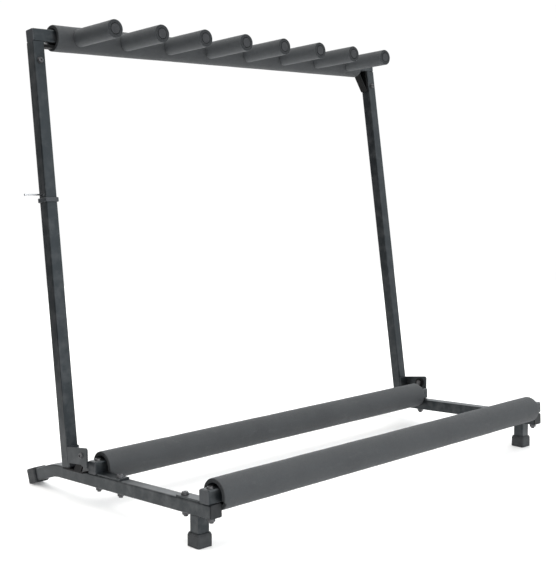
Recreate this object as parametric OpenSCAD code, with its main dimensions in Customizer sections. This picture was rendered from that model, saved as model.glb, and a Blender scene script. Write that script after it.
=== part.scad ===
// Folding floor rack for seven guitars: two sloping side rails joined by two foam-covered
// roller tubes, and a hinged, leaning back frame whose top bar carries the divider arms.
// Millimetres, +Z up, front toward -Y, origin on the floor under the middle of the overall box.

/* [Base] */
// Outside width over the two side rails
base_w = 752; // [640:1:900]
// Outside size of the square rail and roller tube
rail_t = 19; // [18:0.5:19.5]
// Wall of the rail and roller tube
rail_wall = 1.5; // [1.2:0.1:2]
// Slope of the side rails, front end higher
rail_slope = 2.87; // [2.5:0.01:3.2]
// Outside diameter of the roller foam
roller_foam_d = 43.2; // [40:0.2:46]
// Bore of the roller foam
roller_foam_bore = 31; // [27:0.5:34]
// Outside size of the rear rubber feet
rear_cap_w = 23.5; // [22.5:0.5:26]
// Height of the front rubber feet
front_cap_h = 18; // [14:0.5:24]

/* [Back frame] */
// Length of the back frame from the hinge datum to the top of the top bar
frame_len = 632.3; // [560:0.1:700]
// Outside size of the square post and top bar tube
post_t = 19; // [18:0.2:20]
// Wall of the post tube
post_wall = 1.4; // [1:0.1:1.8]
// Backward lean of the frame
lean = 7.95; // [6:0.05:10]
// Height of the splice joint along the left post
splice_z = 381; // [300:1:450]
// Length of the lock pin outside the post
pin_out = 28; // [20:1:36]

/* [Dividers] */
// Number of divider arms
divider_n = 8; // [8:1:8]
// Spacing of the divider arms
divider_pitch = 85.2; // [74:0.2:88]
// Reach of the dividers from the top bar centre
divider_reach = 107; // [90:1:130]
// Upward tilt of the dividers from level
divider_tilt = 3.9; // [0:0.1:8]
// Outside diameter of the divider foam
divider_foam_d = 27.2; // [24:0.2:30]
// Outside diameter of the divider arm tube
arm_d = 15.4; // [14:0.2:17]
// Outside diameter of the top bar foam
top_foam_d = 39.2; // [37:0.2:42]
// Bore of the top bar foam
top_foam_bore = 27.2; // [26.8:0.2:30]

/* [Hidden] */
left = -1;
right = 1;
sides = [left, right];
mid_x = 10.26;          // middle plane of the rack; the lock pin sticks out on the left only

// Facets of round parts
corner_facets = 32;
round_facets = 48;
foam_facets = 64;

// Square tube sections
tube_corner_r = 2.2;
rail_bore_r = 0.7;      // corner radius inside the bent rail
plug_corner_r = 1;
rail_bore = rail_t - 2 * rail_wall;
post_bore = post_t - 2 * post_wall;

// Bolts and nuts
bolt_r = 3;
bolt_hole_r = 3.06;
nut_bore_r = 3.04;
base_nut_h = 5;
base_bolt_past = 7.4;   // bolt length below the rail

// Side rails
rail_x = base_w / 2 - rail_t / 2;  // rail centre line
bend_y = 135.78;        // where the rail starts to bend down
bend_z = 35.12;
bend_r = 100;
bend_angle = 16.6;
rail_front_y = -210.82;
rail_len = (bend_y - rail_front_y) / cos(rail_slope);
tail_len = 55.5;        // straight run of the rail behind the bend

// Front legs and rubber feet
leg_y = -179.32;
leg_w = 18.4;
leg_wall = 1.5;
leg_corner_r = 1.8;
leg_bottom = 3;
leg_blank_h = 46;
front_cap_w = 24;
cap_corner_r = 3;
cap_clear = 0.1;
rear_cap_past = 2.7;    // rear cap beyond the end of the tail
rear_cap_len = 20.7;
rear_cap_rim = 1.8;     // narrower front edge of the rear cap

// Back frame datum: front face of the posts
post_front_y = 93.88;
datum_z = 61.7;
post_outer_x = base_w / 2 + 10;    // outer face of the posts at the datum
splay = 0.92;                      // inward run of the posts
post_bottom = -10.3;
bar_bottom = frame_len - post_t;   // underside of the top bar
bar_half = base_w / 2 - 2.6;
inner_post_x = post_outer_x - post_t - bar_bottom * sin(splay);  // inner face at the top bar
corner_bolt_z = bar_bottom - 28;
post_overrun = 4;       // extra post length, trimmed flush under the top bar

// Foam sleeves, as [left end, right end]; they hang a little low on their tubes
roller_foam_x = [-base_w / 2 + rail_t + 0.5, base_w / 2 - 22];
roller_foam_drop = 0.6;
top_foam_x = [40 - base_w / 2, base_w / 2 - 43.4];
top_foam_drop = 1;

// Roller stations, as [front, rear]
roller_y = [rail_front_y + rail_t / 2, post_front_y - 56.9 + rail_t / 2];
roller_bolt_y = [for (y = roller_y) y - rail_t * sin(rail_slope)];  // bolts cross the rail top
plate_bolt_y = [roller_y[0] + 50.5, roller_y[1] - 53.5];
plate_t = 2.5;
plate_gap = 0.06;       // between a plate and its roller tube
plate_span = [          // y ends of each plate from its roller bolt
  [rail_t / 2 + plate_gap, 60],
  [-63, -rail_t / 2 - plate_gap]
];

// Folding hinges
hinge_t = 2.5;
hinge_x = base_w / 2 + 10.2;             // outer face of the leaves
bracket_x = hinge_x - hinge_t - 0.1;     // outer face of the brackets
bracket_inner_x = bracket_x - hinge_t;
pivot_leaned = [-34.5, 9.2];             // hinge axis in the leaned frame, [y, z]
pivot = [                                // the same axis in the rack, [y, z]
  post_front_y + pivot_leaned[0] * cos(lean) + pivot_leaned[1] * sin(lean),
  datum_z - pivot_leaned[0] * sin(lean) + pivot_leaned[1] * cos(lean)
];
leaf_top = 20.3;
leaf_corner_r = 3.8;
leaf_flange_w = 19.2;
leaf_flange_drop = 8;
// leaf side outline in the leaned frame, [y, z]
leaf_outline = [
  [0, -3.4], [-32.7, -4], [-42, -10], [-46.7, -9],
  [-50.3, 16.5], [-46.5, leaf_top], [0, leaf_top]
];
tab_r = 8;              // rounded top of the bracket tab
// bracket tab side outline below the pivot, [y, z]
tab_outline = [
  [pivot[0] - tab_r, pivot[1]], [pivot[0] + tab_r, pivot[1]], [pivot[0] + 22, 50.2],
  [pivot[0] + 22, 47.6], [pivot[0] + 6.4, 48.4], [pivot[0] + 2, 56]
];

// Splice in the left post
splice_half_gap = 3.5;
collar_h = 6.8;
insert_size = [post_bore - 0.4, post_bore - 1.6];
collar_clear = 0.2;
pin_r = 1.2;
pin_hole_r = 1.26;
pin_z = splice_z + 8;

// Right corner gusset, outlines [x, z] from the top of the post's inner face
gusset_w = 14;
gusset_h = 38;
gusset_plate_t = 2;
strap_t = 2.2;
gusset_plate_outline = [[0, 0], [-21, 0], [-21, -5], [-4, -gusset_h], [0, -gusset_h]];
gusset_web_outline = [[-18.8, -5], [-21, -5], [-4, -gusset_h], [-1.9, -37]];

// Dividers
arm_wall = 1.2;
arm_clear = 0.2;        // on the diameter of the holes in the foam
arm_cap_t = 1.4;
arm_len = divider_reach - arm_cap_t;

steel = [0.16, 0.16, 0.17];
zinc = [0.62, 0.63, 0.65];
foam_grey = [0.30, 0.30, 0.31];
rubber_black = [0.10, 0.10, 0.10];
plug_grey = [0.2, 0.2, 0.21];

// ---- sections and shared parts ----
module rounded_square(width, radius) {
  square([width, width - 2 * radius], center = true);
  square([width - 2 * radius, width], center = true);
  for (sx = sides, sy = sides)
    translate([sx * (width / 2 - radius), sy * (width / 2 - radius)])
      circle(r = radius, $fn = corner_facets);
}

module square_tube(width, wall, radius) difference() {
  rounded_square(width, radius);
  rounded_square(width - 2 * wall, max(0.5, radius - wall));
}

// rounded square as a point list with short straight runs, for the bent rail
function rounded_points(width, radius) = [
  for (quarter = [0 : 3], angle = [0, 22.5, 45, 67.5, 90])
    let (centre_x = (quarter == 0 || quarter == 3 ? 1 : -1) * (width / 2 - radius),
         centre_y = (quarter < 2 ? 1 : -1) * (width / 2 - radius))
    [centre_x + radius * cos(90 * quarter + angle),
     centre_y + radius * sin(90 * quarter + angle)]
];

module rail_section() difference() {
  polygon(rounded_points(rail_t, tube_corner_r));
  polygon(rounded_points(rail_bore, rail_bore_r));
}

module along_x(length) rotate([0, 90, 0]) linear_extrude(length, center = true) children();

// cap above z = 0 and stem below it, for the end of a square tube
module square_plug(cap_w, cap_t, stem_w, stem_len) {
  linear_extrude(cap_t) rounded_square(cap_w, tube_corner_r);
  translate([0, 0, -stem_len]) linear_extrude(stem_len) rounded_square(stem_w, plug_corner_r);
}

// foam sleeve along x between two ends
module foam_sleeve(ends, outer_d, bore_d)
  translate([(ends[0] + ends[1]) / 2, 0, 0]) along_x(ends[1] - ends[0]) difference() {
    circle(d = outer_d, $fn = foam_facets);
    circle(d = bore_d, $fn = foam_facets);
  }

// bolt with the head above z = 0 and a hexagon socket
module socket_bolt(head_r, head_h, shank_len) difference() {
  union() {
    cylinder(r1 = head_r, r2 = head_r * 0.72, h = head_h, $fn = round_facets);
    translate([0, 0, -shank_len]) cylinder(r = bolt_r, h = shank_len + 0.5, $fn = round_facets);
  }
  translate([0, 0, head_h - 1.6]) cylinder(d = 3.6, h = 3, $fn = 6);
}

module bolt_hole(length, center = false)
  cylinder(r = bolt_hole_r, h = length, center = center, $fn = round_facets);

// hexagon nut, with a thin round flange at the top when flange_r is given
module nut(across_flats, height, flange_r = 0) difference() {
  union() {
    cylinder(d = across_flats / cos(30), h = height, $fn = 6);
    if (flange_r > 0)
      translate([0, 0, height - 1]) cylinder(r = flange_r, h = 1, $fn = round_facets);
  }
  translate([0, 0, -1]) cylinder(r = nut_bore_r, h = 8, $fn = round_facets);
}

// ---- placement ----
// rail frame: origin where the bend starts, y back along the slope
module on_rail(side)
  translate([mid_x + side * rail_x, bend_y, bend_z]) rotate([-rail_slope, 0, 0]) children();

// rail top at a station given by its y in the rack
module on_top(side, y)
  on_rail(side) translate([0, (y - bend_y) / cos(rail_slope), rail_t / 2]) children();

// end of the bend, y along the tail
module on_tail(side, distance)
  on_rail(side) translate([0, 0, -bend_r]) rotate([-bend_angle, 0, 0])
    translate([0, distance, bend_r]) children();

module at_leg(side, z) translate([mid_x + side * rail_x, leg_y, z]) children();

// centre of a roller tube lying across the rails: 0 front, 1 rear
module at_roller(i)
  translate([mid_x, roller_y[i],
             bend_z + (bend_y - roller_y[i]) * tan(rail_slope) + rail_t / cos(rail_slope)])
    rotate([-rail_slope, 0, 0]) children();

module at_pivot(side, x) translate([mid_x + side * x, pivot[0], pivot[1]]) children();

// x start of a slab whose outer face is at outer_x on its side
function slab_x(side, outer_x, width) = side > 0 ? outer_x - width : -outer_x;

// leaned back frame: front face of the posts at y = 0
module leaned() translate([mid_x, post_front_y, datum_z]) rotate([-lean, 0, 0]) children();

module on_post(side)
  leaned() translate([side * (post_outer_x - post_t / 2), post_t / 2, 0])
    rotate([0, -side * splay, 0]) children();

// centre of the top bar
module at_bar(drop = 0)
  leaned() translate([0, post_t / 2, bar_bottom + post_t / 2 - drop]) children();

// z along divider i, counted from 0 at the left
module at_divider(i)
  at_bar() translate([(i - (divider_n - 1) / 2) * divider_pitch, 0, 0])
    rotate([90 + lean - divider_tilt, 0, 0]) children();

// z along the lock pin, pointing right
module at_pin() on_post(left) translate([0, 0, pin_z]) rotate([0, 90, 0]) children();

// ---- base ----
module rail_body(side) {
  on_rail(side) {
    rotate([90, 0, 0]) linear_extrude(rail_len) rail_section();
    translate([0, 0, -bend_r])
      rotate([0, -90, 0]) rotate_extrude(angle = bend_angle, $fn = 96)
        translate([bend_r, 0]) rail_section();
  }
  on_tail(side, 0) rotate([-90, 0, 0]) linear_extrude(tail_len) rail_section();
}

// front leg, cut off just inside the underside of the rail
module leg(side) difference() {
  at_leg(side, leg_bottom) linear_extrude(leg_blank_h)
    square_tube(leg_w, leg_wall, leg_corner_r);
  on_rail(side) translate([-20, -rail_len, -rail_t / 2 + 0.4]) cube([40, rail_len, 60]);
}

// the left rail also takes the plate bolts
module side_rail(side) color(steel) difference() {
  union() {
    rail_body(side);
    leg(side);
  }
  for (y = side == left ? concat(roller_bolt_y, plate_bolt_y) : roller_bolt_y)
    on_top(side, y) translate([0, 0, -rail_t - 2]) bolt_hole(rail_t + 4);
}
module side_rail_left() side_rail(left);
module side_rail_right() side_rail(right);

// stepped rubber caps under the legs
module front_foot_caps() color(rubber_black) for (side = sides) difference() {
  // each step: [bottom, height, reduction in width]
  at_leg(side, 0) for (step = [
    [0, front_cap_h - 3, 0],
    [front_cap_h - 3, 1.8, 0.8],
    [front_cap_h - 1.2, 1.2, 2]
  ])
    translate([0, 0, step[0]]) linear_extrude(step[1])
      rounded_square(front_cap_w - step[2], cap_corner_r);
  at_leg(side, leg_bottom - 0.05) linear_extrude(front_cap_h)
    rounded_square(leg_w + cap_clear, leg_corner_r);
}

// rubber caps square on the sloping tails, cut flat at the floor
module rear_foot_caps() color(rubber_black) for (side = sides) difference() {
  on_tail(side, tail_len + rear_cap_past) rotate([90, 0, 0]) {
    linear_extrude(rear_cap_len - rear_cap_rim) rounded_square(rear_cap_w, cap_corner_r);
    linear_extrude(rear_cap_len) rounded_square(rear_cap_w - 1, cap_corner_r);
  }
  on_tail(side, tail_len + 0.05) rotate([90, 0, 0]) linear_extrude(64)
    rounded_square(rail_t + cap_clear, tube_corner_r);
  translate([-500, 150, -20]) cube([1000, 100, 20]);
}

// plugs in the front ends of the rails
module rail_end_plugs() color(plug_grey) for (side = sides)
  on_rail(side) translate([0, -rail_len, 0]) rotate([90, 0, 0])
    square_plug(rail_t - 1, 1.8, rail_bore - 0.1, 5.5);

module roller_tube(i) color(steel) difference() {
  at_roller(i) along_x(base_w) square_tube(rail_t, rail_wall, tube_corner_r);
  for (side = sides) at_roller(i) translate([side * rail_x, 0, -20]) bolt_hole(40);
}
module roller_tube_front() roller_tube(0);
module roller_tube_rear() roller_tube(1);

module roller_end_plugs() color(plug_grey) for (i = [0, 1], side = sides)
  at_roller(i) translate([side * base_w / 2, 0, 0]) rotate([0, side * 90, 0])
    square_plug(rail_t - 1, 1.6, rail_bore - 0.1, 3);

// flat strips on the left rail: one behind the front roller tube, one ahead of the rear one
module roller_plates() color(steel) for (i = [0, 1]) difference() {
  on_top(left, roller_bolt_y[i]) translate([-rail_t / 2 + 0.8, plate_span[i][0], 0])
    cube([rail_t - 1.6, plate_span[i][1] - plate_span[i][0], plate_t]);
  on_top(left, plate_bolt_y[i]) translate([0, 0, -2]) bolt_hole(10);
}

module roller_foam(i) color(foam_grey)
  at_roller(i) translate([0, 0, -roller_foam_drop])
    foam_sleeve(roller_foam_x, roller_foam_d, roller_foam_bore);
module roller_foam_front() roller_foam(0);
module roller_foam_rear() roller_foam(1);

module roller_bolts() color(steel) for (y = roller_bolt_y, side = sides)
  on_top(side, y) translate([0, 0, rail_t])
    socket_bolt(5.2, 2.4, 2 * rail_t + base_bolt_past);

module plate_bolts() color(steel) for (y = plate_bolt_y)
  on_top(left, y) translate([0, 0, plate_t])
    socket_bolt(5.6, 3.8, plate_t + rail_t + base_bolt_past);

// flanged nuts under the rails
module base_nut(side, y)
  on_top(side, y) translate([0, 0, -rail_t - base_nut_h]) nut(9.4, base_nut_h, flange_r = 6);
module base_nuts() color(steel) {
  for (y = roller_bolt_y, side = sides) base_nut(side, y);
  for (y = plate_bolt_y) base_nut(left, y);
}

// ---- folding hinges ----
// side plate beside the post and a flange across its front face
module hinge_leaf(side) color(steel) difference() {
  leaned() {
    translate([slab_x(side, hinge_x, hinge_t), 0, 0])
      rotate([90, 0, 90]) linear_extrude(hinge_t) {
        polygon(leaf_outline);
        translate([-46.5, leaf_top - leaf_corner_r])
          circle(r = leaf_corner_r, $fn = corner_facets);
      }
    translate([slab_x(side, hinge_x, leaf_flange_w), -hinge_t, -leaf_flange_drop])
      cube([leaf_flange_w, hinge_t, leaf_top + leaf_flange_drop]);
  }
  at_pivot(side, hinge_x + 5) rotate([0, -side * 90, 0]) bolt_hole(14);
}
module hinge_leaf_left() hinge_leaf(left);
module hinge_leaf_right() hinge_leaf(right);

module hinge_bracket(side) color(steel) {
  // foot on the rail top
  foot_w = bracket_x - rail_x + rail_t / 2;
  on_top(side, post_front_y) translate([slab_x(side, bracket_x - rail_x, foot_w), -33, 0])
    cube([foot_w, 51, hinge_t]);
  // upright tab just inside the hinge leaf
  translate([mid_x + slab_x(side, bracket_x, hinge_t), 0, 0])
    rotate([90, 0, 90]) linear_extrude(hinge_t) difference() {
      union() {
        translate(pivot) circle(r = tab_r, $fn = round_facets);
        polygon(tab_outline);
      }
      translate(pivot) circle(r = bolt_hole_r, $fn = round_facets);
    }
}
module hinge_bracket_left() hinge_bracket(left);
module hinge_bracket_right() hinge_bracket(right);

module hinge_bolts() color(zinc) for (side = sides)
  at_pivot(side, hinge_x) rotate([0, side * 90, 0]) socket_bolt(4.6, 2.4, 7.4);

module hinge_nuts() color(zinc) for (side = sides)
  at_pivot(side, bracket_inner_x) rotate([0, -side * 90, 0]) nut(8.6, 2.3);

// ---- back frame ----
// length of post, trimmed under the top bar and drilled for the corner bolt
module post_segment(side, z_from, z_to) difference() {
  on_post(side) translate([0, 0, z_from]) linear_extrude(z_to - z_from)
    square_tube(post_t, post_wall, tube_corner_r);
  leaned() translate([-500, -40, bar_bottom]) cube([1000, 100, 100]);
  on_post(side) translate([0, 0, corner_bolt_z]) rotate([90, 0, 0])
    bolt_hole(60, center = true);
}

module pin_hole() at_pin() cylinder(r = pin_hole_r, h = 40, center = true, $fn = round_facets);

module post_right() color(steel) post_segment(right, post_bottom, bar_bottom + post_overrun);

module post_left_lower() color(steel) difference() {
  post_segment(left, post_bottom, splice_z - splice_half_gap);
  // relief on the back face below the splice
  on_post(left) translate([-20, post_t / 2 - 1.1, splice_z - 59]) cube([40, 10, 100]);
}

module post_left_upper() color(steel) difference() {
  post_segment(left, splice_z + splice_half_gap, bar_bottom + post_overrun);
  pin_hole();
}

// solid bar joining the two halves of the left post
module splice_insert() color(steel) difference() {
  on_post(left) translate([0, 0, splice_z - 60]) linear_extrude(110)
    square(insert_size, center = true);
  pin_hole();
}

module splice_collar() color(plug_grey)
  on_post(left) translate([0, 0, splice_z - collar_h / 2]) linear_extrude(collar_h)
    difference() {
      rounded_square(post_t + 4.2, 3);
      square([insert_size[0] + collar_clear, insert_size[1] + collar_clear], center = true);
    }

// pin with a small knob at its left end
module lock_pin() color(zinc) at_pin() translate([0, 0, -post_t / 2 - pin_out]) {
  cylinder(r = pin_r, h = pin_out + post_t + 2, $fn = corner_facets);
  translate([0, 0, -1.4]) cylinder(r = 1.7, h = 1.6, $fn = corner_facets);
}

module top_bar() color(steel)
  at_bar() along_x(2 * bar_half) square_tube(post_t, post_wall, tube_corner_r);

module top_bar_plugs() color(plug_grey) for (side = sides)
  at_bar() translate([side * bar_half, 0, 0]) rotate([0, side * 90, 0])
    square_plug(post_t - 0.8, 1.6, post_bore - 0.1, 8);

// small strip inside the left post just under the top bar
module corner_tab_left() color(steel)
  leaned() translate([-inner_post_x + 0.3, post_t / 2 - 6, bar_bottom - 7.5])
    cube([20, 12, 4.5]);

// deep gusset under the right end: back plate, sloping web and a strap against the post
module corner_gusset_right() color(steel)
  leaned() translate([inner_post_x - 0.1, post_t / 2, bar_bottom]) {
    translate([0, gusset_w / 2, 0]) rotate([90, 0, 0]) {
      linear_extrude(gusset_plate_t) polygon(gusset_plate_outline);
      linear_extrude(gusset_w) polygon(gusset_web_outline);
    }
    translate([-strap_t, -gusset_w / 2, -gusset_h]) cube([strap_t, gusset_w, gusset_h]);
  }

module corner_bolts() color(zinc) for (side = sides)
  on_post(side) translate([0, -post_t / 2, corner_bolt_z]) rotate([90, 0, 0])
    socket_bolt(5.2, 3.4, post_t + 4.6);

module corner_nuts() color(zinc) for (side = sides)
  on_post(side) translate([0, post_t / 2, corner_bolt_z]) rotate([-90, 0, 0]) nut(9.6, 4);

// ---- dividers ----
module top_bar_foam() color(foam_grey) difference() {
  at_bar(top_foam_drop) foam_sleeve(top_foam_x, top_foam_d, top_foam_bore);
  for (i = [0 : divider_n - 1])
    at_divider(i) cylinder(d = arm_d + arm_clear, h = 40, $fn = round_facets);
}

// tubes cut to meet the faces of the top bar
module divider_arms() color(steel) for (i = [0 : divider_n - 1]) difference() {
  at_divider(i) cylinder(d = arm_d, h = arm_len, $fn = round_facets);
  at_divider(i) translate([0, 0, -1])
    cylinder(d = arm_d - 2 * arm_wall, h = divider_reach + 4, $fn = round_facets);
  at_bar() along_x(2000) square(post_t + 0.02, center = true);
}

module divider_plugs() color(plug_grey) for (i = [0 : divider_n - 1]) at_divider(i) {
  translate([0, 0, arm_len]) cylinder(d = arm_d - 0.4, h = arm_cap_t, $fn = round_facets);
  translate([0, 0, divider_reach - 7]) cylinder(d = arm_d - 2.5, h = 5.8, $fn = round_facets);
}

module divider_foam(i) color(foam_grey) difference() {
  at_divider(i) cylinder(d = divider_foam_d, h = divider_reach, $fn = foam_facets);
  at_divider(i) translate([0, 0, -1])
    cylinder(d = arm_d + arm_clear, h = divider_reach + 4, $fn = round_facets);
  at_bar(top_foam_drop) along_x(2000) circle(d = top_foam_d + 0.1, $fn = foam_facets);
  // keep only the arm side of the bar
  at_divider(i) translate([0, 0, -40]) cylinder(d = 60, h = 45, $fn = corner_facets);
}
module divider_foam_1() divider_foam(0);
module divider_foam_2() divider_foam(1);
module divider_foam_3() divider_foam(2);
module divider_foam_4() divider_foam(3);
module divider_foam_5() divider_foam(4);
module divider_foam_6() divider_foam(5);
module divider_foam_7() divider_foam(6);
module divider_foam_8() divider_foam(7);

side_rail_left();
side_rail_right();
front_foot_caps();
rear_foot_caps();
rail_end_plugs();
roller_tube_front();
roller_tube_rear();
roller_end_plugs();
roller_plates();
roller_foam_front();
roller_foam_rear();
roller_bolts();
plate_bolts();
base_nuts();
hinge_bracket_left();
hinge_bracket_right();
hinge_leaf_left();
hinge_leaf_right();
hinge_bolts();
hinge_nuts();
post_left_lower();
post_left_upper();
post_right();
splice_insert();
splice_collar();
lock_pin();
top_bar();
top_bar_plugs();
corner_tab_left();
corner_gusset_right();
corner_bolts();
corner_nuts();
top_bar_foam();
divider_arms();
divider_plugs();
divider_foam_1();
divider_foam_2();
divider_foam_3();
divider_foam_4();
divider_foam_5();
divider_foam_6();
divider_foam_7();
divider_foam_8();
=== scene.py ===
"""Looks and studio for a steel frame with foam rollers and a hinged back frame.

The rollers and the top bar run along X and Z is up. Eight foam-covered divider arms
reach from the top bar toward -Y, tilted slightly upward.
Sleeve sizes are in millimetres; the stage, lights and camera are in metres.
"""
import math
import bpy
import bmesh
from mathutils import Vector, Matrix, noise


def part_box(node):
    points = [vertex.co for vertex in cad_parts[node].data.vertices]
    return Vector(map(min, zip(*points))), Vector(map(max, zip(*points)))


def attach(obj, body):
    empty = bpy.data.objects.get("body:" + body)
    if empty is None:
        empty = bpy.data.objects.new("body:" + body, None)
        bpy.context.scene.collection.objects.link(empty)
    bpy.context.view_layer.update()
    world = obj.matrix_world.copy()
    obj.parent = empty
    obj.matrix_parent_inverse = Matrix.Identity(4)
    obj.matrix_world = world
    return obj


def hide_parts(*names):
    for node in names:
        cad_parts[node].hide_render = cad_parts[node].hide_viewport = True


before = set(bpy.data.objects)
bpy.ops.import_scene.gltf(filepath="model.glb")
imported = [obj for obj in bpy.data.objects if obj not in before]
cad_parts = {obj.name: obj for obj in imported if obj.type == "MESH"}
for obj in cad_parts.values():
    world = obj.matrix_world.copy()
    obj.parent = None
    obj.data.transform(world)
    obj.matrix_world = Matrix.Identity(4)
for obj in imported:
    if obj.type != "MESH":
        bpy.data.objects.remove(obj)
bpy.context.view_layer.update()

MM = 0.001


# ------------------------------------------------------------------ node helpers
def rgba(value):
    """Opaque colour from a grey level or an RGB triple."""
    if isinstance(value, (int, float)):
        value = (value, value, value)
    return (*value, 1)


class Nodes:
    """An emptied node tree with short calls for the nodes used here."""

    def __init__(self, owner):
        owner.use_nodes = True
        self.tree = owner.node_tree
        self.tree.nodes.clear()

    def feed(self, socket, value):
        """Link a socket to another socket, or set its value."""
        if isinstance(value, bpy.types.NodeSocket):
            self.tree.links.new(value, socket)
        elif socket.type == "RGBA":
            socket.default_value = rgba(value)
        else:
            socket.default_value = value

    def node(self, kind, inputs=None, **settings):
        node = self.tree.nodes.new("ShaderNode" + kind)
        for setting, value in settings.items():
            setattr(node, setting, value)
        for socket, value in (inputs or {}).items():
            self.feed(node.inputs[socket], value)
        return node

    def maths(self, operation, first, second):
        return self.node("Math", {0: first, 1: second}, operation=operation).outputs[0]

    def add(self, first, second):
        return self.maths("ADD", first, second)

    def multiply(self, first, second):
        return self.maths("MULTIPLY", first, second)


class Material(Nodes):
    """A Principled material textured in object coordinates."""

    def __init__(self, name):
        self.material = bpy.data.materials.new(name)
        super().__init__(self.material)
        self.shader = self.node("BsdfPrincipled")
        self.node("OutputMaterial", {0: self.shader.outputs[0]})
        self.place = self.node("TexCoord").outputs["Object"]

    def set(self, socket, value):
        self.feed(self.shader.inputs[socket], value)

    def stretched(self, scale):
        return self.node("Mapping", {"Scale": scale, "Vector": self.place}).outputs[0]

    def noise(self, scale, detail=4.0, roughness=0.55, place=None):
        inputs = {"Scale": scale, "Detail": detail, "Roughness": roughness,
                  "Vector": place or self.place}
        return self.node("TexNoise", inputs).outputs[0]

    def cells(self, scale, feature="F1"):
        inputs = {"Scale": scale, "Vector": self.place}
        return self.node("TexVoronoi", inputs, feature=feature).outputs["Distance"]

    def ramp(self, factor, span, low, high):
        """Blend from low to high while the factor crosses the span."""
        node = self.node("ValToRGB", {0: factor})
        for element, position, value in zip(node.color_ramp.elements, span, (low, high)):
            element.position = position
            element.color = rgba(value)
        return node.outputs[0]

    def mix(self, factor, first, second, mode="MIX"):
        # inputs 6 and 7 and output 2 are the colour sockets of the Mix node
        return self.node("Mix", {0: factor, 6: first, 7: second},
                         data_type="RGBA", blend_type=mode).outputs[2]

    def tint(self, first, second):
        return self.mix(1.0, first, second, mode="MULTIPLY")

    def bump(self, height, strength, distance=0.0004):
        inputs = {"Strength": strength, "Distance": distance, "Height": height}
        self.set("Normal", self.node("Bump", inputs).outputs[0])


# ------------------------------------------------------------------ materials
def powder_coat():
    coat = Material("powder_coat_black")
    # broad tone drift and fine speckle of the baked powder
    broad = coat.noise(scale=9.0, detail=3.0)
    fine = coat.noise(scale=1500.0, detail=2.0, roughness=0.6)
    base = coat.ramp(broad, span=(0.3, 0.7),
                     low=(0.0066, 0.0080, 0.0092), high=(0.0071, 0.0085, 0.0097))
    speckle = coat.ramp(fine, span=(0.35, 0.7), low=0.82, high=1.22)
    colour = coat.tint(base, speckle)

    # rubbed, slightly lighter edges
    pointiness = coat.node("NewGeometry").outputs["Pointiness"]
    edge = coat.ramp(pointiness, span=(0.505, 0.56), low=0.0, high=1.0)
    patches = coat.noise(scale=60.0, detail=5.0)
    patch = coat.ramp(patches, span=(0.42, 0.66), low=0.0, high=1.0)
    wear_share = 0.5
    wear = coat.multiply(coat.multiply(edge, patch), wear_share)
    worn_colour = (0.06, 0.06, 0.062)
    coat.set("Base Color", coat.mix(wear, colour, worn_colour))

    gloss = coat.noise(scale=28.0)
    coat.set("Roughness", coat.ramp(gloss, span=(0.3, 0.72), low=0.352, high=0.364))
    coat.set("Specular IOR Level", 0.36)
    coat.set("Specular Tint", (0.84, 0.94, 1.0))

    # orange peel, with a share of the speckle on top
    peel = coat.noise(scale=620.0, detail=2.0, roughness=0.5)
    speckle_share = 0.35
    coat.bump(coat.add(peel, coat.multiply(fine, speckle_share)), strength=0.11)
    return coat.material


def foam(name, gain):
    """Closed-cell foam skin; gain scales how light its base colour is."""
    skin = Material(name)
    broad = skin.noise(scale=14.0, roughness=0.6)
    mottle = skin.noise(scale=160.0, roughness=0.65)
    base = skin.ramp(broad, span=(0.28, 0.72),
                     low=(0.034 * gain, 0.0372 * gain, 0.0405 * gain),
                     high=(0.045 * gain, 0.0488 * gain, 0.0525 * gain))
    colour = skin.tint(base, skin.ramp(mottle, span=(0.3, 0.7), low=0.88, high=1.12))

    # tiny pits between the cells
    edges = skin.cells(scale=900.0, feature="DISTANCE_TO_EDGE")
    cell = skin.ramp(edges, span=(0.0, 0.22), low=0.72, high=1.0)
    colour = skin.tint(colour, cell)

    # faint pale rub marks, drawn out along X
    streaks = skin.noise(scale=70.0, detail=5.0, roughness=0.7,
                         place=skin.stretched((0.35, 1.0, 1.0)))
    rub = skin.ramp(streaks, span=(0.60, 0.78), low=0.0, high=1.0)
    rub_share = 0.22
    rub_colour = (0.11, 0.112, 0.114)
    skin.set("Base Color", skin.mix(skin.multiply(rub, rub_share), colour, rub_colour))

    skin.set("Roughness", skin.ramp(mottle, span=(0.3, 0.7), low=0.62, high=0.78))
    skin.set("Specular IOR Level", 0.42)
    skin.set("Sheen Weight", 0.05)
    skin.set("Sheen Roughness", 0.45)
    skin.set("Sheen Tint", (0.9, 0.92, 0.95))

    # shares of the cells, the finest grain and the mottle in the relief
    cell_share, grain_share, mottle_share = 0.6, 0.5, 0.9
    cell_relief = skin.multiply(cell, cell_share)
    grain = skin.noise(scale=2400.0, detail=3.0, roughness=0.7)
    relief = skin.add(cell_relief, skin.multiply(grain, grain_share))
    relief = skin.add(relief, skin.multiply(mottle, mottle_share))
    skin.bump(relief, strength=0.35, distance=0.0005)
    return skin.material


def foam_cut():
    """The cut end of a sleeve: open cells and a rougher face."""
    face = Material("foam_cut_face")
    cells = face.cells(scale=1100.0)
    face.set("Base Color", face.ramp(cells, span=(0.05, 0.5),
                                     low=(0.010, 0.011, 0.012), high=(0.030, 0.032, 0.034)))
    face.set("Roughness", 0.93)
    face.set("Specular IOR Level", 0.2)
    face.bump(cells, strength=0.7, distance=0.0006)
    return face.material


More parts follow.
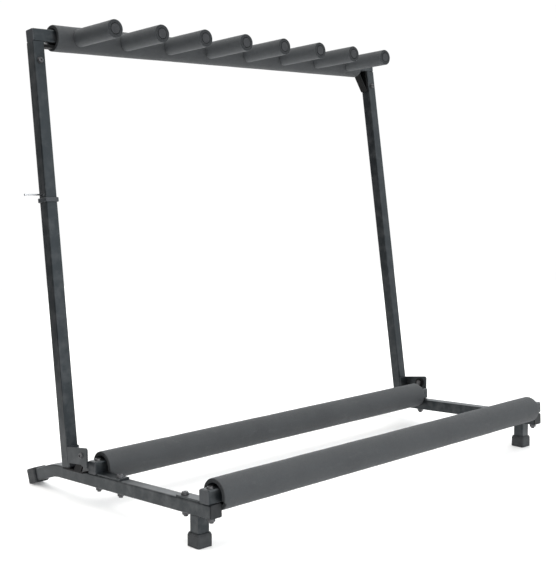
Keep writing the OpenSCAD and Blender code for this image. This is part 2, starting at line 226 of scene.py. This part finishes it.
def plain(name, colours, roughness, scale, grain, relief, specular,
          metallic=0.0, stretch=(1, 1, 1)):
    """Uneven colour and gloss at one noise scale, with a finer grain as relief."""
    surface = Material(name)
    place = surface.stretched(stretch)
    tone = surface.noise(scale=scale, detail=5.0, roughness=0.6, place=place)
    surface.set("Base Color", surface.ramp(tone, span=(0.3, 0.7),
                                           low=colours[0], high=colours[1]))
    gloss = surface.noise(scale=scale * 2.3, place=place)
    surface.set("Roughness", surface.ramp(gloss, span=(0.3, 0.7),
                                          low=roughness[0], high=roughness[1]))
    surface.set("Metallic", metallic)
    surface.set("Specular IOR Level", specular)
    surface.bump(surface.noise(scale=grain, detail=3.0, roughness=0.6, place=place),
                 strength=relief)
    return surface.material


STEEL = powder_coat()
FOAM = foam("foam_charcoal", gain=0.84)
# a lighter copy of the same charcoal foam for the divider arms: painted light for the brighter
# light the arms catch from below
FOAM_ARM_PAINTED_LIGHT = foam("foam_charcoal_arms_painted_lighter", gain=1.32)
FOAM_CUT = foam_cut()
# a darker copy of the same black steel, as painted shade for the deep shadow inside the hinge
# brackets, the corner gusset and the corner tab
PAINTED_SHADE_STEEL = plain(
    "painted_shade_black_steel", colours=((0.004, 0.004, 0.0043), (0.0065, 0.0065, 0.007)),
    roughness=(0.5, 0.62), scale=40.0, grain=700.0, relief=0.2, specular=0.12)
RUBBER = plain(
    "rubber_black", colours=((0.026, 0.028, 0.030), (0.040, 0.042, 0.045)),
    roughness=(0.55, 0.72), scale=60.0, grain=900.0, relief=0.3, specular=0.28)
PLASTIC = plain(
    "plastic_black", colours=((0.018, 0.021, 0.025), (0.028, 0.032, 0.037)),
    roughness=(0.40, 0.5), scale=90.0, grain=1400.0, relief=0.14, specular=0.42)
RAIL_END = plain(
    "plastic_black_rail_end", colours=((0.010, 0.011, 0.012), (0.015, 0.016, 0.018)),
    roughness=(0.5, 0.6), scale=90.0, grain=1400.0, relief=0.14, specular=0.25)
PLUG = plain(
    "plastic_grey_plug", colours=((0.014, 0.015, 0.017), (0.024, 0.025, 0.027)),
    roughness=(0.46, 0.6), scale=120.0, grain=1300.0, relief=0.2, specular=0.3)
SCREW = plain(
    "blackened_screw", colours=((0.05, 0.05, 0.053), (0.10, 0.10, 0.105)),
    roughness=(0.3, 0.46), scale=220.0, grain=1600.0, relief=0.2, specular=0.5,
    metallic=0.75)
WIRE = plain(
    "bright_wire", colours=((0.55, 0.56, 0.58), (0.72, 0.73, 0.75)),
    roughness=(0.2, 0.34), scale=300.0, grain=1500.0, relief=0.25, specular=0.5,
    metallic=1.0, stretch=(0.05, 1, 1))


# ------------------------------------------------------------------ CAD pieces
FINISHES = (
    (STEEL, ("side_rail_left", "side_rail_right", "roller_tube_front", "roller_tube_rear",
             "roller_plates", "hinge_leaf_left", "hinge_leaf_right", "post_left_lower",
             "post_left_upper", "post_right", "splice_insert", "top_bar", "divider_arms")),
    # the hinge brackets, corner gusset and corner tab take the darker steel copy: painted
    # shade, not a different finish
    (PAINTED_SHADE_STEEL, ("hinge_bracket_left", "hinge_bracket_right", "corner_gusset_right",
                  "corner_tab_left")),
    (SCREW, ("roller_bolts", "plate_bolts", "base_nuts", "hinge_bolts", "hinge_nuts",
             "corner_bolts", "corner_nuts")),
    (RUBBER, ("front_foot_caps", "rear_foot_caps")),
    (PLASTIC, ("roller_end_plugs", "top_bar_plugs", "splice_collar")),
    (PLUG, ("divider_plugs",)),
    (RAIL_END, ("rail_end_plugs",)),
    (WIRE, ("lock_pin",)),
)
MATERIAL_OF = {node: material for material, names in FINISHES for node in names}

# bevel widths in mm
BEVEL_DEFAULT = 0.35
BEVELS = {
    "front_foot_caps": 1.2, "rear_foot_caps": 1.2, "rail_end_plugs": 0.6,
    "roller_end_plugs": 0.6, "top_bar_plugs": 0.5, "splice_collar": 1.0,
    "divider_plugs": 0.5, "lock_pin": 0.3,
}


def dress(name, piece):
    """Give a CAD piece its material, joined vertices and softened edges."""
    piece.data.materials.clear()
    piece.data.materials.append(MATERIAL_OF[name])
    weld = piece.modifiers.new("weld", "WELD")
    weld.merge_threshold = 1e-6
    bevel = piece.modifiers.new("bevel", "BEVEL")
    bevel.width = BEVELS.get(name, BEVEL_DEFAULT) * MM
    bevel.segments = 2
    bevel.limit_method = "ANGLE"
    bevel.angle_limit = math.radians(38)
    bevel.harden_normals = False
    bevel.use_clamp_overlap = True


for name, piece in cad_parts.items():
    if name in MATERIAL_OF:
        dress(name, piece)


# ------------------------------------------------------------------ foam sleeves
FACE_STEPS = 4    # steps across each end face
CUT_ZONE = 3      # mm from an end over which the crooked cut fades out
LIP_REACH = 16    # mm from the near end over which the lip fades out
LIP_BLEND = 0.24  # change in cos(angle) over which the lip sets in


def mesh_object(name, bm, materials):
    mesh = bpy.data.meshes.new(name)
    bm.to_mesh(mesh)
    bm.free()
    for material in materials:
        mesh.materials.append(material)
    made = bpy.data.objects.new(name, mesh)
    bpy.context.scene.collection.objects.link(made)
    return made


def cad_box(node):
    """Low corner, size and centre of a CAD piece, in mm."""
    low, high = (Vector(corner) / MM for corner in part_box(node))
    return low, high - low, (low + high) / 2


def corner(station, radius, rounding, start, ks, steps, skin_ks=()):
    """Points k of a quarter round about (station, radius), turning down from start degrees."""
    points = []
    for k in ks:
        angle = math.radians(start - 90 * k / steps)
        points.append((station + rounding * math.cos(angle),
                       radius + rounding * math.sin(angle), k in skin_ks))
    return points


def sleeve_outline(length, outer, bore, edge, bore_edge, skin_steps, bore_steps):
    """Closed loop of (station, radius, is skin), starting at the near end of the skin."""
    face_top = outer - edge
    face_foot = bore + bore_edge
    skin_run = length - 2 * edge
    bore_run = length - 2 * bore_edge
    face_run = face_top - face_foot
    loop = [(edge + skin_run * i / skin_steps, outer, True) for i in range(skin_steps + 1)]
    loop += corner(length - edge, face_top, edge, 90, range(1, 5), 4, skin_ks=(1, 2))
    loop += [(length, face_top - face_run * k / FACE_STEPS, False)
             for k in range(1, FACE_STEPS)]
    loop += corner(length - bore_edge, face_foot, bore_edge, 0, range(4), 3)
    loop += [(length - bore_edge - bore_run * i / bore_steps, bore, False)
             for i in range(1, bore_steps)]
    loop += corner(bore_edge, face_foot, bore_edge, 270, range(4), 3)
    loop += [(0, face_foot + face_run * k / FACE_STEPS, False)
             for k in range(1, FACE_STEPS)]
    loop += corner(edge, face_top, edge, 180, range(4), 4, skin_ks=(2, 3))
    return loop


def skin_swell(station, angle, length, outer, seed, wave, pit, dents):
    """Radial unevenness of the skin: long waves, short pits and pressed dents."""
    shift = Vector((seed * 7.31, seed * 3.17, seed * 1.93))

    def uneven(along, around):
        return noise.noise(Vector((station * along, math.cos(angle) * around,
                                   math.sin(angle) * around)) + shift)

    swell = uneven(along=0.02, around=1.2) * wave + uneven(along=0.11, around=3.5) * pit
    for fraction, dent_angle, depth, width in dents:
        turn = angle - dent_angle
        arc = math.atan2(math.sin(turn), math.cos(turn)) * outer
        along = station - length * fraction
        swell -= depth * math.exp(-((along / width) ** 2 + (arc / width) ** 2))
    return swell - wave * 0.35


def cut_shift(station, angle, length, seed, crooked, saddled):
    """Stray of a hand-cut end; a saddled sleeve has such a cut at its far end only."""
    from_end = length - station if saddled else min(station, length - station)
    fade = max(0.0, 1 - from_end / CUT_ZONE)
    if saddled:
        return -(0.5 + 0.5 * math.cos(angle - seed)) * crooked * fade
    lean = math.cos(angle - seed) + 0.25 * math.cos(3 * angle + seed * 2)
    outward = 1 if station > length / 2 else -1
    return outward * fade * crooked * (0.5 * lean - 0.4)


def lip_shift(station, angle, lip, lip_from):
    """Creep of the near end, where cos(angle) is above lip_from."""
    blend = min(max((math.cos(angle) - lip_from) / LIP_BLEND, 0.0), 1.0)
    fade = max(0.0, 1 - station / LIP_REACH)
    return -lip * blend * blend * (3 - 2 * blend) * fade


def sleeve(name, node, part, origin, axis, up, length, outer, bore, seed,
           skin_steps=150, bore_steps=24, sides=72, edge=1.6, bore_edge=0.5,
           wave=0.22, pit=0.10, crooked=0.35, dents=(), lip=0.0, lip_from=-0.47,
           saddle=None, skin=FOAM):
    """Foam sleeve as one closed surface that takes the place of a CAD piece.

    Angles run around the axis from up. saddle(angle, radius) gives the station
    of a near end cut to sit on another sleeve.
    """
    side = axis.cross(up)
    bm = bmesh.new()
    rings = []
    for nominal, radius, is_skin in sleeve_outline(length, outer, bore, edge, bore_edge,
                                                   skin_steps, bore_steps):
        ring = []
        for i in range(sides):
            angle = 2 * math.pi * i / sides
            outward = up * math.cos(angle) + side * math.sin(angle)
            station, reach = nominal, radius
            if saddle:
                start = saddle(angle, radius)
                station = start + (length - start) * (nominal / length)
            if radius > (outer + bore) / 2:
                reach += skin_swell(station, angle, length, outer, seed, wave, pit, dents)
            station += cut_shift(nominal, angle, length, seed, crooked, bool(saddle))
            station += lip_shift(nominal, angle, lip, lip_from)
            ring.append(bm.verts.new((origin + axis * station + outward * reach) * MM))
        rings.append((ring, is_skin))

    for j, (ring, is_skin) in enumerate(rings):
        following, following_is_skin = rings[(j + 1) % len(rings)]
        for i in range(sides):
            beside = (i + 1) % sides
            face = bm.faces.new((ring[i], ring[beside], following[beside], following[i]))
            face.smooth = True
            face.material_index = 0 if is_skin and following_is_skin else 1
    bmesh.ops.recalc_face_normals(bm, faces=bm.faces)

    made = mesh_object(name, bm, (skin, FOAM_CUT))
    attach(made, part)
    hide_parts(node)


def bar_sleeve(name, node, part, **shape):
    """Sleeve along X that fills the box of its CAD piece."""
    low, size, centre = cad_box(node)
    sleeve(name, node, part, origin=Vector((low.x, centre.y, centre.z)),
           axis=Vector((1, 0, 0)), up=Vector((0, 0, 1)),
           length=size.x, outer=size.z / 2, **shape)


# fraction of the length, angle from the top, depth mm, width mm
ROLLER_DENTS = ((0.18, 0.2, 0.35, 16), (0.47, -0.3, 0.3, 22), (0.79, 0.5, 0.4, 18))

ARM_TILT = math.radians(3.9)
ARM_AXIS = Vector((0, -math.cos(ARM_TILT), math.sin(ARM_TILT)))
ARM_UP = Vector((0, math.sin(ARM_TILT), math.cos(ARM_TILT)))
ARM_REACH = 107.0      # from the top bar's centre line to the sleeve's far end
ARM_SLIMMER = 0.1      # taken off the CAD radius
SADDLE_OVERLAP = 0.05  # how deep the arm sleeves sink into the top sleeve

_, top_size, top_centre = cad_box("top_bar_foam")
_, _, bar_centre = cad_box("top_bar")
saddle_radius = top_size.z / 2 - SADDLE_OVERLAP


def station_on_top_sleeve(angle, radius):
    """Where a line along an arm's sleeve leaves the top sleeve's cylinder."""
    start = bar_centre + ARM_UP * math.cos(angle) * radius - top_centre
    start.x = 0
    along = start.dot(ARM_AXIS)
    beyond = start.dot(start) - saddle_radius ** 2
    return -along + math.sqrt(max(along * along - beyond, 0.0))


def divider_sleeve(number):
    node = "divider_foam_%d" % number
    _, size, centre = cad_box(node)
    # the arm sleeves use the lighter foam copy, which is painted light
    sleeve("foam_divider_%d" % number, node, "back_frame",
           origin=Vector((centre.x, bar_centre.y, bar_centre.z)),
           axis=ARM_AXIS, up=ARM_UP, length=ARM_REACH,
           outer=size.x / 2 - ARM_SLIMMER, bore=8.35, seed=10 + number,
           skin_steps=34, bore_steps=10, sides=56, edge=1.2, bore_edge=0.6,
           wave=0.16, pit=0.06, crooked=0.2, saddle=station_on_top_sleeve, skin=FOAM_ARM_PAINTED_LIGHT)


# only the upper part of a roller sleeve's near end creeps; the whole top sleeve end does
for seed, place in enumerate(("front", "rear"), start=1):
    bar_sleeve("foam_%s_roller" % place, "roller_foam_" + place, "base",
               bore=15.8, seed=seed, dents=ROLLER_DENTS, lip=4.6)
bar_sleeve("foam_top_bar", "top_bar_foam", "back_frame",
           bore=14.4, seed=3, wave=0.18, lip=2.2, lip_from=-1.3)
for number in range(1, 9):
    divider_sleeve(number)


# ------------------------------------------------------------------ stage
FLOOR_X = (-0.78, 2.8)
FLOOR_Y = (-2.6, 2.6)
FLOOR_DROP = 0.0005


def floor_material():
    paper = Material("studio_floor")
    drift = paper.noise(scale=2.0, detail=2.0)
    paper.set("Base Color", paper.ramp(drift, span=(0.3, 0.7), low=0.86, high=0.90))
    paper.set("Roughness", 0.9)
    paper.set("Specular IOR Level", 0.1)
    paper.set("Emission Color", 1.0)
    paper.set("Emission Strength", 0.14)
    return paper.material


def stage_floor():
    (x0, x1), (y0, y1) = FLOOR_X, FLOOR_Y
    bm = bmesh.new()
    bm.faces.new([bm.verts.new((x, y, 0))
                  for x, y in ((x0, y0), (x1, y0), (x1, y1), (x0, y1))])
    floor = mesh_object("floor", bm, (floor_material(),))
    floor.location.z = -FLOOR_DROP


def studio_world():
    """Cool walls on the +X side and a warm ceiling; the camera sees plain white."""
    world = bpy.data.worlds.new("studio")
    bpy.context.scene.world = world
    room = Nodes(world)
    view = room.node("TexCoord").outputs["Generated"]

    def toward(direction, gain):
        facing = room.node("VectorMath", {0: view, 1: direction}, operation="DOT_PRODUCT")
        return room.multiply(room.maths("MAXIMUM", facing.outputs["Value"], 0.0), gain)

    def background(colour, strength):
        return room.node("Background", {"Color": colour, "Strength": strength}).outputs[0]

    walls = room.add(toward(direction=(0.80, 0.60, 0), gain=0.80),
                     toward(direction=(0.62, -0.78, 0), gain=0.85))
    ambient = 0.10
    lit = background(colour=(0.93, 0.99, 1.04), strength=room.add(walls, ambient))
    ceiling = background(colour=(1.03, 1.0, 0.96),
                         strength=toward(direction=(0, 0, 1), gain=1.25))
    lighting = room.node("AddShader", {0: lit, 1: ceiling}).outputs[0]
    seen = background(colour=(1.0, 1.0, 1.0), strength=1.02)
    is_camera = room.node("LightPath").outputs["Is Camera Ray"]
    choice = room.node("MixShader", {0: is_camera, 1: lighting, 2: seen})
    room.node("OutputWorld", {0: choice.outputs[0]})


def aim(location, target):
    return (Vector(target) - Vector(location)).to_track_quat("-Z", "Y").to_euler()


# name, location, target, (width, height), watts, colour
LIGHTS = (
    ("key_top", (-0.5, -0.4, 2.6), (0, 0, 0.3), (2.4, 2.0), 26, (1.0, 0.985, 0.96)),
    ("fill_front", (0.6, -2.8, 1.1), (0, 0, 0.35), (2.0, 1.4), 15, (0.95, 0.98, 1.0)),
    ("back_board", (0.45, 2.1, 0.9), (0.2, 0, 0.35), (3.2, 1.5), 10, (1.0, 1.0, 1.0)),
    ("near_camera", (-1.5, -1.75, 0.95), (0, 0, 0.35), (0.5, 0.6), 4, (0.93, 0.98, 1.0)),
    ("low_left", (-1.15, -1.25, 0.05), (0, 0, 0.5), (1.5, 0.7), 9, (0.97, 0.99, 1.0)),
)


def area_light(name, location, target, size, power, colour):
    light = bpy.data.lights.new(name, "AREA")
    light.shape = "RECTANGLE"
    light.size, light.size_y = size
    light.energy = power
    light.color = colour
    lamp = bpy.data.objects.new(name, light)
    lamp.location = location
    lamp.rotation_euler = aim(location, target)
    lamp.visible_camera = False
    bpy.context.scene.collection.objects.link(lamp)


CAMERA_PLACE = Vector((-1.229113, -1.229122, 0.485636))
CAMERA_HEADING = math.radians(-43.988)     # about Z, from +Y
CAMERA_DOWN_TILT = math.radians(6.176)
CAMERA_SENSOR = 36.0                       # mm
CAMERA_LENS = 70.455432                    # mm


def studio_camera():
    data = bpy.data.cameras.new("camera")
    data.sensor_fit = "HORIZONTAL"
    data.sensor_width = CAMERA_SENSOR
    data.lens = CAMERA_LENS
    data.clip_start = 0.05
    data.clip_end = 60
    heading, tilt = CAMERA_HEADING, CAMERA_DOWN_TILT
    forward = Vector((-math.sin(heading) * math.cos(tilt),
                      math.cos(heading) * math.cos(tilt), -math.sin(tilt)))
    right = Vector((math.cos(heading), math.sin(heading), 0))
    turn = Matrix((right, right.cross(forward), -forward)).transposed()
    camera = bpy.data.objects.new("camera", data)
    camera.matrix_world = Matrix.Translation(CAMERA_PLACE) @ turn.to_4x4()
    bpy.context.scene.collection.objects.link(camera)
    bpy.context.scene.camera = camera


stage_floor()
studio_world()
bpy.context.scene.view_settings.view_transform = "Standard"
for light in LIGHTS:
    area_light(*light)
studio_camera()
